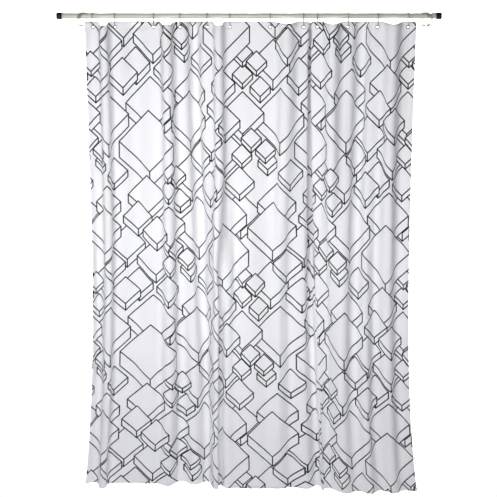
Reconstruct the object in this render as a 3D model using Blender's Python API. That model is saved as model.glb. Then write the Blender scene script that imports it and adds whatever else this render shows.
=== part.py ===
"""Shower curtain hanging by rings from a telescopic tension rod.

The rod runs along +X from the left wall (x = 0), with its axis on the X axis, and +Z is up.
The room is on the -Y side. Lengths are in metres.
"""

import math

import bmesh
import bpy
import numpy as np

# Rod
ROD_LENGTH = 1.490
OUTER_TUBE_RADIUS = 0.0110
TUBE_WALL = 0.0008
OUTER_TUBE_SHORT_OF_WALL = 0.0495
INNER_TUBE_LENGTH = 0.826
CAP_LENGTH = 0.0220
CAP_WALL = 0.0022
CAP_END_THICKNESS = 0.0040
CAP_ROUNDING = 0.0015
LEFT_COLLAR_LENGTH = 0.0055
RIGHT_COLLAR_LENGTH = 0.0180
COLLAR_WALL = 0.00085
BUSH_LENGTH = 0.0220
BUSH_WALL = 0.0007
BUSH_LIP = 0.0020

# Lock and spring inside the rod
LOCK_REACH = 0.0700
SLEEVE_LENGTH = 0.0360
SLEEVE_MOUTH_WALL = 0.0012
SLEEVE_THROAT_WALL = 0.0026
SLEEVE_SLIT = 0.0024
CONE_LENGTH = 0.0160
CONE_DEPTH_IN_SLEEVE = 0.0120
KEY_WIDTH = 0.0016
SPINDLE_RADIUS = 0.0040
SPINDLE_OVERHANG = 0.0040
SHOULDER_OVER_THROAT = 0.0002
SHOULDER_THICKNESS = 0.0030
PLUG_LENGTH = 0.0180
PLUG_FLANGE = 0.0020
SEAT_THICKNESS = 0.0035
SEAT_FROM_PLUG = 0.0300
SPRING_LENGTH = 0.0960
SPRING_WIRE_RADIUS = 0.0008
SPRING_TURNS = 9
STOP_LENGTH = 0.0120

# Rings and eyelets
RING_RADIUS = 0.0267
RING_WIRE_RADIUS = 0.0018
RING_CATCH_RADIUS = 0.0026
RING_CATCH_LENGTH = 0.0050
RING_CATCH_ANGLE = math.radians(-60)
FIRST_RING_X = 0.140
RING_GAPS = (0.086, 0.150, 0.102, 0.105, 0.088, 0.1565, 0.128, 0.054, 0.119, 0.115, 0.118)
SPARE_RINGS_EACH_END = 3
SPARE_RING_GAP = 0.000734
SPARE_RING_TURN = math.radians(38)
SPARE_FROM_FIRST_RING = 0.0305
SPARE_FROM_TUBE_END = 0.0060
EYELET_HOLE_RADIUS = 0.0040
EYELET_FLANGE_WIDTH = 0.0035
EYELET_BARREL_WALL = 0.0010
EYELET_FLANGE_THICKNESS = 0.0008

# Cloth, flat
CLOTH_WIDTH = 1.800
CLOTH_HEIGHT = 2.000
CLOTH_THICKNESS = 0.0010
EYELET_FROM_SIDE = 0.03375
EYELET_BELOW_EDGE = 0.0170
FLAT_BESIDE_EYELET = 0.0100

# Cloth, hung
FLAP_TURN = math.radians(22)
SAG_PER_SLACK = 0.16
HEM_SAG_SHARE = 0.3
FOLD_CHANGE_FROM = 0.04
FOLD_CHANGE_ABOVE_HEM = 0.25
HEM_FLARE_LEFT = 0.073
HEM_FLARE_RIGHT = 0.074
FLARE_POWER_LEFT = 3.3
FLARE_POWER_RIGHT = 4.0
SPAN_WINDOW = 0.090
SPAN_ROUNDS = 60
SPAN_RATE = 0.8
LARGEST_TURN_FACTOR = 3.0
STEEPEST_HEM_SLOPE = 0.97
HEM_FOLDS = (
    (0.000, 0.030), (0.034, 0.050), (0.115, -0.006), (0.180, 0.046), (0.249, 0.060),
    (0.322, 0.030), (0.355, 0.042), (0.405, 0.006), (0.470, 0.060), (0.525, 0.034),
    (0.590, 0.062), (0.700, -0.044), (0.752, -0.004), (0.805, -0.034), (0.840, -0.020),
    (0.900, -0.092), (0.975, -0.030), (1.020, -0.040), (1.075, 0.014), (1.120, -0.012),
    (1.170, 0.030), (1.215, -0.014), (1.262, 0.034), (1.310, 0.006), (1.350, 0.016),
    (1.440, -0.088), (1.505, -0.044), (1.568, -0.082), (1.625, -0.032), (1.690, -0.066),
    (1.750, -0.024), (1.800, -0.044),
)

# Fits
SEAT_GAP = 0.0003
RUNNING_GAP = 0.0002
CONE_GAP = 0.0003

ROUND_SIDES = 24
WIRE_SIDES = 6
RING_STATIONS = 24
SPRING_STATIONS_PER_TURN = 12
EYELET_SIDES = 12
COLUMNS_PER_FOLD = 6
DRAPE_SAMPLES = 1441
ROW_SHARES = (0.06, 0.135, 0.24, 0.37, 0.51, 0.65, 0.78, 0.895, 1.0)

OUTER_TUBE_BORE = OUTER_TUBE_RADIUS - TUBE_WALL
INNER_TUBE_RADIUS = OUTER_TUBE_BORE - SEAT_GAP - BUSH_WALL - RUNNING_GAP
INNER_TUBE_BORE = INNER_TUBE_RADIUS - TUBE_WALL
OUTER_TUBE_END = ROD_LENGTH - OUTER_TUBE_SHORT_OF_WALL
INNER_TUBE_END = ROD_LENGTH - CAP_END_THICKNESS - SEAT_GAP
INNER_TUBE_START = INNER_TUBE_END - INNER_TUBE_LENGTH
SLEEVE_RADIUS = OUTER_TUBE_BORE - RUNNING_GAP
SLEEVE_MOUTH_RADIUS = SLEEVE_RADIUS - SLEEVE_MOUTH_WALL
SLEEVE_THROAT_RADIUS = SLEEVE_RADIUS - SLEEVE_THROAT_WALL
SHOULDER_RADIUS = SLEEVE_THROAT_RADIUS + SHOULDER_OVER_THROAT
CAP_RADIUS = OUTER_TUBE_RADIUS + SEAT_GAP + CAP_WALL
COLLAR_RADIUS = OUTER_TUBE_RADIUS + SEAT_GAP + COLLAR_WALL
RING_CENTRE_Z = OUTER_TUBE_RADIUS + SEAT_GAP + RING_WIRE_RADIUS - RING_RADIUS
EYELET_Z = RING_CENTRE_Z - RING_RADIUS + RING_WIRE_RADIUS + SEAT_GAP - EYELET_HOLE_RADIUS
CLOTH_TOP_Z = EYELET_Z + EYELET_BELOW_EDGE
RING_X = FIRST_RING_X + np.concatenate([[0.0], np.cumsum(RING_GAPS)])
SPARE_RING_PITCH = (2 * RING_WIRE_RADIUS + SPARE_RING_GAP) / math.cos(SPARE_RING_TURN)
EYELET_FLANGE_RADIUS = EYELET_HOLE_RADIUS + EYELET_FLANGE_WIDTH
EYELET_PITCH = (CLOTH_WIDTH - 2 * EYELET_FROM_SIDE) / len(RING_GAPS)
EYELET_U = EYELET_FROM_SIDE + EYELET_PITCH * np.arange(len(RING_X))
FOLD_CHANGE_TO = CLOTH_HEIGHT - FOLD_CHANGE_ABOVE_HEM
TOP_HEM = 2 * EYELET_BELOW_EDGE
CLOTH_ROWS = (0.0, TOP_HEM, *[share * CLOTH_HEIGHT for share in ROW_SHARES])


def clear_scene():
    for old in list(bpy.data.objects):
        bpy.data.objects.remove(old, do_unlink=True)


def material(name, colour, roughness, metallic=0.0):
    made = bpy.data.materials.new(name)
    made.use_nodes = True
    shader = made.node_tree.nodes["Principled BSDF"]
    shader.inputs["Base Color"].default_value = (*colour, 1.0)
    shader.inputs["Roughness"].default_value = roughness
    shader.inputs["Metallic"].default_value = metallic
    made.diffuse_color = (*colour, 1.0)
    return made


def mesh_from(name, points, faces, made_of, sharp_degrees=35):
    mesh = bpy.data.meshes.new(name)
    mesh.from_pydata([tuple(p) for p in points], [], [tuple(f) for f in faces])
    shell = bmesh.new()
    shell.from_mesh(mesh)
    bmesh.ops.recalc_face_normals(shell, faces=shell.faces)
    shell.to_mesh(mesh)
    shell.free()
    mesh.materials.append(made_of)
    mesh.shade_smooth()
    mesh.set_sharp_from_angle(angle=math.radians(sharp_degrees))
    return mesh


def place(name, mesh, location=(0.0, 0.0, 0.0), turn=0.0):
    piece = bpy.data.objects.new(name, mesh)
    piece.location = location
    piece.rotation_euler = (0.0, 0.0, turn)
    bpy.context.scene.collection.objects.link(piece)
    return piece


def loft(sections, closed):
    """Joins equal polygons one to the next; an open row of them is capped at both ends."""
    sections = np.asarray(sections, float)
    count, sides = sections.shape[:2]
    faces = []
    for k in range(count if closed else count - 1):
        here, there = k * sides, (k + 1) % count * sides
        for j in range(sides):
            step = (j + 1) % sides
            faces.append((here + j, here + step, there + step, there + j))
    if not closed:
        faces.append(range(sides))
        faces.append(range((count - 1) * sides, count * sides))
    return sections.reshape(-1, 3), faces


def hexagon_radius(across_corners, angle):
    """Distance from the middle of a hexagon to its side in a direction."""
    return across_corners * math.cos(math.pi / 6) / math.cos((angle % (math.pi / 3)) - math.pi / 6)


def about_x(profile, sides, hexagonal):
    """Copies of a profile of (x, radius) points around the X axis; listed points follow a hexagon."""
    sections = []
    for k in range(sides):
        angle = 2 * math.pi * k / sides
        section = []
        for j, (x, radius) in enumerate(profile):
            r = hexagon_radius(radius, angle) if j in hexagonal else radius
            section.append((x, r * math.cos(angle), r * math.sin(angle)))
        sections.append(section)
    return sections


def turned(profile, sides=ROUND_SIDES, hexagonal=()):
    """A closed profile turned about the X axis, with a bore through its middle."""
    return loft(about_x(profile, sides, hexagonal), closed=True)


def tube(start, end, outside, inside):
    return turned([(start, inside), (start, outside), (end, outside), (end, inside)])


def turned_solid(profile, sides=ROUND_SIDES, hexagonal=()):
    """An open profile turned about the X axis, closed by a flat face at its first and last point."""
    points = np.reshape(about_x(profile, sides, hexagonal), (-1, 3))
    rows = len(profile)
    faces = []
    for k in range(sides):
        here, there = k * rows, (k + 1) % sides * rows
        faces += [(here + j, here + j + 1, there + j + 1, there + j) for j in range(rows - 1)]
    faces.append([k * rows for k in range(sides)])
    faces.append([k * rows + rows - 1 for k in range(sides)])
    return points, faces


def end_cap(tube_radius):
    """A rubber cup with its flat wall face at x = 0 and its mouth towards +X."""
    bore = tube_radius + SEAT_GAP
    profile = [
        (0.0, CAP_RADIUS - CAP_ROUNDING), (CAP_ROUNDING, CAP_RADIUS), (CAP_LENGTH, CAP_RADIUS),
        (CAP_LENGTH, bore), (CAP_END_THICKNESS, bore),
    ]
    return turned_solid(profile)


def ring():
    """A round-wire ring in the YZ plane, hung on the tube, with a snap catch at its lower front."""
    slit = SEAT_GAP / RING_RADIUS / 2
    catch = RING_CATCH_LENGTH / RING_RADIUS
    first, last = RING_CATCH_ANGLE + slit, RING_CATCH_ANGLE + 2 * math.pi - slit
    step = (last - first) / RING_STATIONS
    angles = [first, first + 0.8 * catch, first + catch]
    angles += [first + step * k for k in range(1, RING_STATIONS + 1)]
    radial = [RING_CATCH_RADIUS] * 2 + [RING_WIRE_RADIUS] * (len(angles) - 2)
    sections = []
    for angle, tall in zip(sorted(angles), radial):
        out = np.array([0.0, -math.cos(angle), math.sin(angle)])
        middle = out * RING_RADIUS + (0.0, 0.0, RING_CENTRE_Z)
        section = []
        for j in range(WIRE_SIDES):
            a = 2 * math.pi * (j + 0.5) / WIRE_SIDES
            section.append(
                middle + out * tall * math.cos(a) + np.array([RING_WIRE_RADIUS * math.sin(a), 0, 0])
            )
        sections.append(section)
    return loft(sections, closed=False)


def eyelet():
    """Two flanges joined by a barrel, about a hole along Y through the hung cloth."""
    half = CLOTH_THICKNESS / 2 + SEAT_GAP
    barrel = EYELET_HOLE_RADIUS + EYELET_BARREL_WALL
    outer = half + EYELET_FLANGE_THICKNESS
    profile = [
        (-outer, EYELET_HOLE_RADIUS), (-outer, EYELET_FLANGE_RADIUS), (-half, EYELET_FLANGE_RADIUS),
        (-half, barrel), (half, barrel), (half, EYELET_FLANGE_RADIUS),
        (outer, EYELET_FLANGE_RADIUS), (outer, EYELET_HOLE_RADIUS),
    ]
    points, faces = turned(profile, EYELET_SIDES)
    points = [(b, a, c + EYELET_Z) for a, b, c in points]
    return points, faces


def lock_sleeve(start):
    """A split sleeve with a tapered bore, its mouth to the left and its slit on top."""
    half_slit = math.asin(SLEEVE_SLIT / 2 / SLEEVE_RADIUS)
    sections = []
    for k in range(ROUND_SIDES):
        angle = math.pi / 2 + half_slit + (2 * math.pi - 2 * half_slit) * k / (ROUND_SIDES - 1)
        across = np.array([0.0, math.cos(angle), math.sin(angle)])
        sections.append(
            [
                across * SLEEVE_MOUTH_RADIUS + (start, 0, 0),
                across * SLEEVE_RADIUS + (start, 0, 0),
                across * SLEEVE_RADIUS + (start + SLEEVE_LENGTH, 0, 0),
                across * SLEEVE_THROAT_RADIUS + (start + SLEEVE_LENGTH, 0, 0),
            ]
        )
    return loft(sections, closed=False)


def spring(start, length):
    """A helix of round wire between two seats, its ends cut square."""
    coil = INNER_TUBE_BORE - RUNNING_GAP - 2 * SPRING_WIRE_RADIUS
    first = start + SEAT_GAP + SPRING_WIRE_RADIUS
    run = length - 2 * (SEAT_GAP + SPRING_WIRE_RADIUS)
    count = SPRING_TURNS * SPRING_STATIONS_PER_TURN
    sections = []
    for k in range(count + 1):
        turn = 2 * math.pi * SPRING_TURNS * k / count
        across = np.array([0.0, math.cos(turn), math.sin(turn)])
        middle = across * coil + (first + run * k / count, 0, 0)
        section = []
        for j in range(WIRE_SIDES):
            a = 2 * math.pi * j / WIRE_SIDES
            along = np.array([SPRING_WIRE_RADIUS * math.sin(a), 0, 0])
            section.append(middle + across * SPRING_WIRE_RADIUS * math.cos(a) + along)
        sections.append(section)
    return loft(sections, closed=False)


def make_rod(ivory, rubber, pale, steel, nylon):
    """Outer tube, wall ends, collars and the guide bush; the inner tube slides in the bush."""
    outer_start = CAP_END_THICKNESS + SEAT_GAP
    shell = tube(outer_start, OUTER_TUBE_END, OUTER_TUBE_RADIUS, OUTER_TUBE_BORE)
    place("outer_tube", mesh_from("outer_tube", *shell, ivory))
    place("left_end_cap", mesh_from("left_end_cap", *end_cap(OUTER_TUBE_RADIUS), rubber))
    left = tube(0, LEFT_COLLAR_LENGTH, COLLAR_RADIUS, OUTER_TUBE_RADIUS + SEAT_GAP)
    place("left_collar", mesh_from("left_collar", *left, pale), (CAP_LENGTH + SEAT_GAP, 0, 0))

    guide = INNER_TUBE_RADIUS + RUNNING_GAP
    lip = SEAT_GAP + BUSH_LIP
    bush = [
        (-BUSH_LENGTH, guide), (-BUSH_LENGTH, OUTER_TUBE_BORE - SEAT_GAP),
        (SEAT_GAP, OUTER_TUBE_BORE - SEAT_GAP), (SEAT_GAP, OUTER_TUBE_RADIUS),
        (lip, OUTER_TUBE_RADIUS), (lip, guide),
    ]
    place("guide_bush", mesh_from("guide_bush", *turned(bush), nylon), (OUTER_TUBE_END, 0, 0))

    inner = tube(0, INNER_TUBE_LENGTH, INNER_TUBE_RADIUS, INNER_TUBE_BORE)
    place("inner_tube", mesh_from("inner_tube", *inner, steel), (INNER_TUBE_START, 0, 0))
    cap_mesh = mesh_from("right_end_cap", *end_cap(INNER_TUBE_RADIUS), rubber)
    place("right_end_cap", cap_mesh, (ROD_LENGTH, 0, 0), math.pi)
    right = tube(0, RIGHT_COLLAR_LENGTH, COLLAR_RADIUS, INNER_TUBE_RADIUS + SEAT_GAP)
    right_x = ROD_LENGTH - CAP_LENGTH - SEAT_GAP - RIGHT_COLLAR_LENGTH
    place("right_collar", mesh_from("right_collar", *right, pale), (right_x, 0, 0))


def make_lock(steel, nylon):
    """The expanding lock, its spindle, and the spring that presses the rod against the walls."""
    lock_start = INNER_TUBE_START - LOCK_REACH
    sleeve = mesh_from("lock_sleeve", *lock_sleeve(0.0), nylon)
    place("lock_sleeve", sleeve, (lock_start, 0, 0))

    taper = (SLEEVE_MOUTH_RADIUS - SLEEVE_THROAT_RADIUS) / SLEEVE_LENGTH
    nose = SLEEVE_MOUTH_RADIUS - taper * CONE_DEPTH_IN_SLEEVE - CONE_GAP
    tail = nose + taper * CONE_LENGTH
    bore = SPINDLE_RADIUS + RUNNING_GAP
    cone_start = CONE_DEPTH_IN_SLEEVE - CONE_LENGTH
    cone = turned([(0, bore), (0, tail), (CONE_LENGTH, nose), (CONE_LENGTH, bore)])
    cone_piece = place("lock_cone", mesh_from("lock_cone", *cone, nylon))
    cone_piece.location.x = lock_start + cone_start
    key_low = (bore + nose) / 2
    key_high = OUTER_TUBE_BORE - RUNNING_GAP - SEAT_GAP
    key_from = (-cone_start + SEAT_GAP, -KEY_WIDTH / 2, key_low)
    key = box_mesh(key_from, (CONE_LENGTH - SEAT_GAP, KEY_WIDTH / 2, key_high))
    add_boolean(cone_piece, guide_object("lock_cone_key", key, cone_piece.location), "UNION")

    shoulder = SLEEVE_LENGTH + SEAT_GAP
    seat = LOCK_REACH + SEAT_FROM_PLUG
    body = INNER_TUBE_BORE - RUNNING_GAP
    profile = [
        (cone_start - SPINDLE_OVERHANG, SPINDLE_RADIUS), (shoulder, SPINDLE_RADIUS),
        (shoulder, SHOULDER_RADIUS), (shoulder + SHOULDER_THICKNESS, SHOULDER_RADIUS),
        (shoulder + SHOULDER_THICKNESS, SPINDLE_RADIUS), (seat, SPINDLE_RADIUS),
        (seat, body), (seat + SEAT_THICKNESS, body),
    ]
    spindle = turned_solid(profile, hexagonal=(4, 5))
    place("lock_spindle", mesh_from("lock_spindle", *spindle, steel), (lock_start, 0, 0))

    socket = SPINDLE_RADIUS + RUNNING_GAP * 2
    plug = [
        (-PLUG_FLANGE - SEAT_GAP, socket), (-PLUG_FLANGE - SEAT_GAP, INNER_TUBE_RADIUS),
        (-SEAT_GAP, INNER_TUBE_RADIUS), (-SEAT_GAP, body), (PLUG_LENGTH, body), (PLUG_LENGTH, socket),
    ]
    plug_mesh = mesh_from("inner_plug", *turned(plug, hexagonal=(0, 5)), nylon)
    place("inner_plug", plug_mesh, (INNER_TUBE_START, 0, 0))

    spring_start = INNER_TUBE_START + SEAT_FROM_PLUG + SEAT_THICKNESS
    coil = mesh_from("tension_spring", *spring(0.0, SPRING_LENGTH), steel)
    place("tension_spring", coil, (spring_start, 0, 0))
    stop = turned_solid([(0, body), (STOP_LENGTH, body)])
    place("spring_stop", mesh_from("spring_stop", *stop, nylon), (spring_start + SPRING_LENGTH, 0, 0))


def box_mesh(low, high):
    mesh = bpy.data.meshes.new("box")
    shell = bmesh.new()
    bmesh.ops.create_cube(shell, size=1.0)
    for corner in shell.verts:
        for axis in range(3):
            corner.co[axis] = high[axis] if corner.co[axis] > 0 else low[axis]
    shell.to_mesh(mesh)
    shell.free()
    return mesh


def guide_object(name, mesh, location=(0.0, 0.0, 0.0)):
    helper = place(name, mesh, location)
    helper.hide_render = True
    helper.display_type = "WIRE"
    return helper


def add_boolean(piece, other, operation):
    cut = piece.modifiers.new(operation.lower(), "BOOLEAN")
    cut.operation = operation
    cut.object = other
    cut.solver = "EXACT"
    return cut


def make_rings(clear_plastic, eyelet_metal):
    """The rings that carry the cloth, with their eyelets, and the spare rings at both ends."""
    ring_mesh = mesh_from("ring", *ring(), clear_plastic, 50)
    eyelet_mesh = mesh_from("eyelet", *eyelet(), eyelet_metal)
    for k, x in enumerate(RING_X, start=1):
        place(f"ring_{k:02d}", ring_mesh, (x, 0, 0))
        place(f"eyelet_{k:02d}", eyelet_mesh, (x, 0, 0))
    for k in range(SPARE_RINGS_EACH_END):
        back = SPARE_RING_PITCH * k
        left_x = RING_X[0] - SPARE_FROM_FIRST_RING - back
        right_x = OUTER_TUBE_END - SPARE_FROM_TUBE_END - back
        place(f"spare_ring_left_{k + 1}", ring_mesh, (left_x, 0, 0), -SPARE_RING_TURN)
        place(f"spare_ring_right_{k + 1}", ring_mesh, (right_x, 0, 0), SPARE_RING_TURN)


def fold_turn(chord, length):
    """The largest turn a of a fold whose turn is a sin(2 pi t) over its length, for its chord."""
    low, high = 0.0, 2.4
    t = (np.arange(200) + 0.5) / 200
    for _ in range(50):
        turn = (low + high) / 2
        if length * np.cos(turn * np.sin(2 * np.pi * t)).mean() > chord:
            low = turn
        else:
            high = turn
    return (low + high) / 2


def top_turns(u):
    """The cloth's turn from +X at its top edge: flat at the eyelets, one fold between each pair."""
    turns = np.zeros_like(u)
    sags = np.zeros_like(u)
    length = EYELET_PITCH - 2 * FLAT_BESIDE_EYELET
    for k, gap in enumerate(RING_GAPS):
        side = -1 if k % 2 == 0 else 1
        t = np.clip((u - EYELET_U[k] - FLAT_BESIDE_EYELET) / length, 0, 1)
        turns += side * fold_turn(gap - 2 * FLAT_BESIDE_EYELET, length) * np.sin(2 * np.pi * t)
        sags += SAG_PER_SLACK * (EYELET_PITCH - gap) * np.sin(np.pi * t) ** 2
    turns[u < EYELET_U[0] - FLAT_BESIDE_EYELET] = FLAP_TURN
    turns[u > EYELET_U[-1] + FLAT_BESIDE_EYELET] = -FLAP_TURN
    return turns, sags


def hem_turns(u):
    """The cloth's turn from +X along the hem, from how far each crest stands from the rod's line."""
    places, depths = np.array(HEM_FOLDS).T
    places = places / places[-1] * CLOTH_WIDTH
    span = np.clip(np.searchsorted(places, u, side="right") - 1, 0, len(places) - 2)
    length = (places[1:] - places[:-1])[span]
    t = (u - places[span]) / length
    slope = (depths[1:] - depths[:-1])[span] * 6 * t * (1 - t) / length
    return np.arcsin(np.clip(slope, -STEEPEST_HEM_SLOPE, STEEPEST_HEM_SLOPE))


def smooth_step(value, start, end):
    t = np.clip((value - start) / (end - start), 0, 1)
    return t * t * (3 - 2 * t)


def hung_cloth(columns, rows):
    """Points and turns of the hung cloth at flat places (u, v).

    Each level keeps the cloth's full width along its curve: its turns blend from the top's to
    the hem's, and are scaled until each stretch spans what the rings above it span."""
    fine = np.linspace(0, CLOTH_WIDTH, DRAPE_SAMPLES)
    step = fine[1] - fine[0]
    at_top, sags = top_turns(fine)
    at_hem = hem_turns(fine)
    top_span = blurred(np.cos(at_top), step)
    left_top = RING_X[0] - FLAT_BESIDE_EYELET
    left_top -= (EYELET_U[0] - FLAT_BESIDE_EYELET) * math.cos(FLAP_TURN)
    width_top = RING_X[-1] - RING_X[0] + 2 * (RING_X[0] - left_top)
    points = np.zeros((len(rows), len(columns), 3))
    turns = np.zeros((len(rows), len(columns)))
    for k, v in enumerate(rows):
        share = smooth_step(v, FOLD_CHANGE_FROM, FOLD_CHANGE_TO)
        turn = at_top * (1 - share) + at_hem * share
        down = v / CLOTH_HEIGHT
        left = left_top - HEM_FLARE_LEFT * down**FLARE_POWER_LEFT
        width = left_top - left + width_top + HEM_FLARE_RIGHT * down**FLARE_POWER_RIGHT
        if share > 0:
            turn = scaled_to_span(turn, top_span * width / width_top, step)
        x, y = (along(f(turn), step) for f in (np.cos, np.sin))
        x = x * (width / x[-1] if share > 0 else 1.0) + left
        y -= np.interp(EYELET_U[0], fine, y) * (1 - share)
        planned_end = (HEM_FOLDS[-1][1] - HEM_FOLDS[0][1]) * share
        y += (planned_end - (y[-1] - y[0])) * fine / CLOTH_WIDTH * smooth_step(share, 0, 0.2)
        y += HEM_FOLDS[0][1] * share
        z = CLOTH_TOP_Z - v - sags * (1 - (1 - HEM_SAG_SHARE) * down)
        for axis, values in enumerate((x, y, z)):
            points[k, :, axis] = np.interp(columns, fine, values)
        turns[k] = np.interp(columns, fine, turn)
    hang_plumb(points, rows)
    return points, turns


def along(slopes, step):
    """The running sum of a slope over equal steps, starting at 0."""
    return np.concatenate([[0.0], np.cumsum((slopes[1:] + slopes[:-1]) / 2)]) * step


def blurred(values, step):
    """Values averaged over a bell-shaped window, with the end values carried past the ends."""
    reach = int(3 * SPAN_WINDOW / step)
    bell = np.exp(-0.5 * (np.arange(-reach, reach + 1) * step / SPAN_WINDOW) ** 2)
    return np.convolve(np.pad(values, reach, mode="edge"), bell / bell.sum(), mode="valid")


def scaled_to_span(turn, wanted, step):
    """Scales the turns, more here and less there, until their blurred cosines are as wanted."""
    factor = np.ones_like(turn)
    for _ in range(SPAN_ROUNDS):
        factor *= 1 + SPAN_RATE * (blurred(np.cos(turn * factor), step) - wanted)
        factor = np.clip(factor, 0.0, LARGEST_TURN_FACTOR)
    return turn * factor


def hang_plumb(points, rows):
    """Leans the cloth below its eyelets until its middle hangs straight under the rod."""
    below = np.maximum(np.asarray(rows) - TOP_HEM, 0)
    weight = np.gradient(np.asarray(rows))
    lean = (points[..., 1].mean(axis=1) * weight).sum() / (below * weight).sum()
    points[..., 1] -= lean * below[:, None]


def cloth_columns():
    """Column places across the flat cloth: beside each eyelet and at equal steps along each fold."""
    fold = EYELET_PITCH - 2 * FLAT_BESIDE_EYELET
    columns = [0.0]
    for k, u in enumerate(EYELET_U):
        columns += [u - FLAT_BESIDE_EYELET, u + FLAT_BESIDE_EYELET]
        if k < len(RING_GAPS):
            start = u + FLAT_BESIDE_EYELET
            columns += [start + fold * j / COLUMNS_PER_FOLD for j in range(1, COLUMNS_PER_FOLD)]
    return np.array([*columns, CLOTH_WIDTH])


def make_cloth(cloth):
    """The curtain as one thin folded slab, with a round hole at each eyelet.

    Both sides are split along the same diagonals, so the slab keeps its thickness in a twist."""
    columns = cloth_columns()
    middle, turns = hung_cloth(columns, CLOTH_ROWS)
    normals = np.stack([np.sin(turns), -np.cos(turns), np.zeros_like(turns)], axis=-1)
    front = middle + normals * CLOTH_THICKNESS / 2
    back = middle - normals * CLOTH_THICKNESS / 2
    across, down = len(columns), len(CLOTH_ROWS)
    points = np.concatenate([front.reshape(-1, 3), back.reshape(-1, 3)])
    far = across * down
    faces = []
    for r in range(down - 1):
        for c in range(across - 1):
            a, b = r * across + c, (r + 1) * across + c
            for corners in ((a, b, b + 1), (a, b + 1, a + 1)):
                faces.append(corners)
                faces.append(tuple(far + corner for corner in reversed(corners)))
    rim = list(range(across))
    rim += [r * across + across - 1 for r in range(1, down)]
    rim += [(down - 1) * across + c for c in range(across - 2, -1, -1)]
    rim += [r * across for r in range(down - 2, 0, -1)]
    for a, b in zip(rim, rim[1:] + rim[:1]):
        faces.append((a, b, far + b, far + a))
    panel = place("curtain_panel", mesh_from("curtain_panel", points, faces, cloth, 60))

    hole = EYELET_HOLE_RADIUS + EYELET_BARREL_WALL + SEAT_GAP
    reach = CLOTH_THICKNESS * 4
    pin = turned_solid([(-reach, hole), (reach, hole)], EYELET_SIDES)
    pin_points = np.array([(b, a, c) for a, b, c in pin[0]])
    all_points, all_faces = [], []
    for x in RING_X:
        offset = len(all_points)
        all_points += list(pin_points + (x, 0, EYELET_Z))
        all_faces += [[offset + corner for corner in face] for face in pin[1]]
    pins = mesh_from("eyelet_hole_pins", all_points, all_faces, cloth)
    add_boolean(panel, guide_object("eyelet_hole_pins", pins), "DIFFERENCE")


def main():
    clear_scene()
    ivory = material("ivory_enamel", (0.66, 0.66, 0.60), 0.35)
    rubber = material("black_rubber", (0.012, 0.012, 0.012), 0.7)
    pale = material("pale_plastic", (0.62, 0.62, 0.58), 0.45)
    steel = material("zinc_plated_steel", (0.60, 0.61, 0.62), 0.35, 0.9)
    nylon = material("white_nylon", (0.80, 0.80, 0.78), 0.5)
    clear_plastic = material("clear_plastic", (0.78, 0.79, 0.72), 0.2)
    eyelet_metal = material("nickel_eyelet", (0.60, 0.60, 0.60), 0.3, 1.0)
    cloth = material("white_polyester", (0.83, 0.83, 0.86), 0.8)
    make_rod(ivory, rubber, pale, steel, nylon)
    make_lock(steel, nylon)
    make_rings(clear_plastic, eyelet_metal)
    make_cloth(cloth)


main()
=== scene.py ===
"""Shower curtain on a tension rod: the finished pieces, laid over the CAD frame.

Lengths are in metres. The rod runs along +X, the room is on the -Y side and +Z is up.
"""

import math

import bmesh
import bpy
import numpy as np
from bpy.props import FloatProperty, FloatVectorProperty, PointerProperty, StringProperty
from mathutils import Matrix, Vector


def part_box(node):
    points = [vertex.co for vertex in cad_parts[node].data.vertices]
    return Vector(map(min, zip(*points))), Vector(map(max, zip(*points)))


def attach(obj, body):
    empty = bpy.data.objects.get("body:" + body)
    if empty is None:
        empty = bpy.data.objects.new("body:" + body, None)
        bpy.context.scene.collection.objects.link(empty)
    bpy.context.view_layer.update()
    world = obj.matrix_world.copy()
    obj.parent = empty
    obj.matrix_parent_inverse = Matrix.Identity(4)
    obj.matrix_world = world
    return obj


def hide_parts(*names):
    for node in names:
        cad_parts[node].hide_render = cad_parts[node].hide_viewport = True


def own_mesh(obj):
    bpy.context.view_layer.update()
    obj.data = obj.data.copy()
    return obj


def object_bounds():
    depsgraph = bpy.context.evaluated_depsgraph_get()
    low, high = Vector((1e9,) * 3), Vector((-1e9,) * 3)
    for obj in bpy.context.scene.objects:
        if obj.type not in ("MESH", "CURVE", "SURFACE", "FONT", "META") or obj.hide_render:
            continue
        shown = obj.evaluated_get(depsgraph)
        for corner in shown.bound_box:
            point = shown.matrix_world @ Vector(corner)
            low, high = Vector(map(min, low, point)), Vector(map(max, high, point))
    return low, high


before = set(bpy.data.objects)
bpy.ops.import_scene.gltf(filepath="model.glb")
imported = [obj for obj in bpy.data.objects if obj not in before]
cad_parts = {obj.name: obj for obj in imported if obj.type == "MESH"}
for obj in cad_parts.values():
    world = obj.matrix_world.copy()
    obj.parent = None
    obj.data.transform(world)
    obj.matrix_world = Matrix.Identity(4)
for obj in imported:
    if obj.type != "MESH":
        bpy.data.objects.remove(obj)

bl_info = {
    "name": "Shower Curtain",
    "version": (1, 0, 0),
    "blender": (4, 5, 0),
    "location": "View3D > Sidebar > Curtain",
    "description": "Builds a printed polyester shower curtain with its rod, rings and eyelets",
    "category": "Add Mesh",
}

CAD_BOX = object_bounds()


def box_of(node):
    """The lowest and highest corners of a CAD node as one array."""
    return np.array(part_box(node), float)


RING_NAMES = [f"ring_{k:02d}" for k in range(1, 13)]
RING_X = np.array([box_of(name)[:, 0].mean() for name in RING_NAMES])
EYELET_Z = float(box_of("eyelet_01")[:, 2].mean())

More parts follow.
